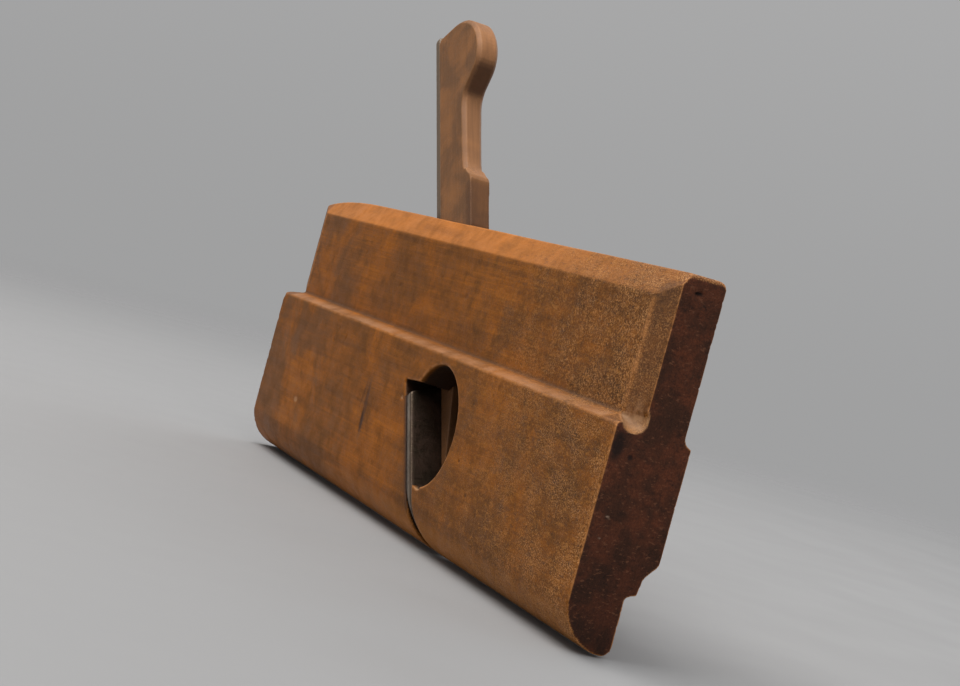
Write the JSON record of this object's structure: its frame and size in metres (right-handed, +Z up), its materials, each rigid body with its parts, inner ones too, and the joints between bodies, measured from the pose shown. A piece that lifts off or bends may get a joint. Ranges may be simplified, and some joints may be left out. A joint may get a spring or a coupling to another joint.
{
  "type": "wooden moulding plane",
  "caption": "Wooden moulding plane that cuts a cove: stepped beech stock with a side shaving throat, a skewless iron with a narrow tang, and a wedge with a rounded head.",
  "frame": {"origin": "on the sole's lowest line, in the middle of the stock's length and thickness", "axes": "+X along the stock towards the toe, +Y away from the side that the shavings leave by, +Z up from the sole"},
  "size_m": [0.2414, 0.0208, 0.1491],
  "materials": {
    "stock_beech": "old beech darkened orange-brown, worn corners, dark toe end grain",
    "wedge_beech": "dry grey-brown beech, lighter front",
    "iron_steel": "dark patinated tool steel, brighter along its edges"
  },
  "bodies": {
    "stock": {"stock": "stock_beech"},
    "wedge": {"wedge": "wedge_beech"},
    "iron": {"iron": "iron_steel"}
  },
  "joints": [
    {"name": "wedge_draw", "type": "slide", "parent": "stock", "child": "wedge", "axis": [-0.5736, 0, 0.8192], "range_m": [0, 0.105]},
    {"name": "iron_drop", "type": "slide", "parent": "stock", "child": "iron", "axis": [0.5736, 0, -0.8192], "range_m": [0, 0.173]}
  ]
}
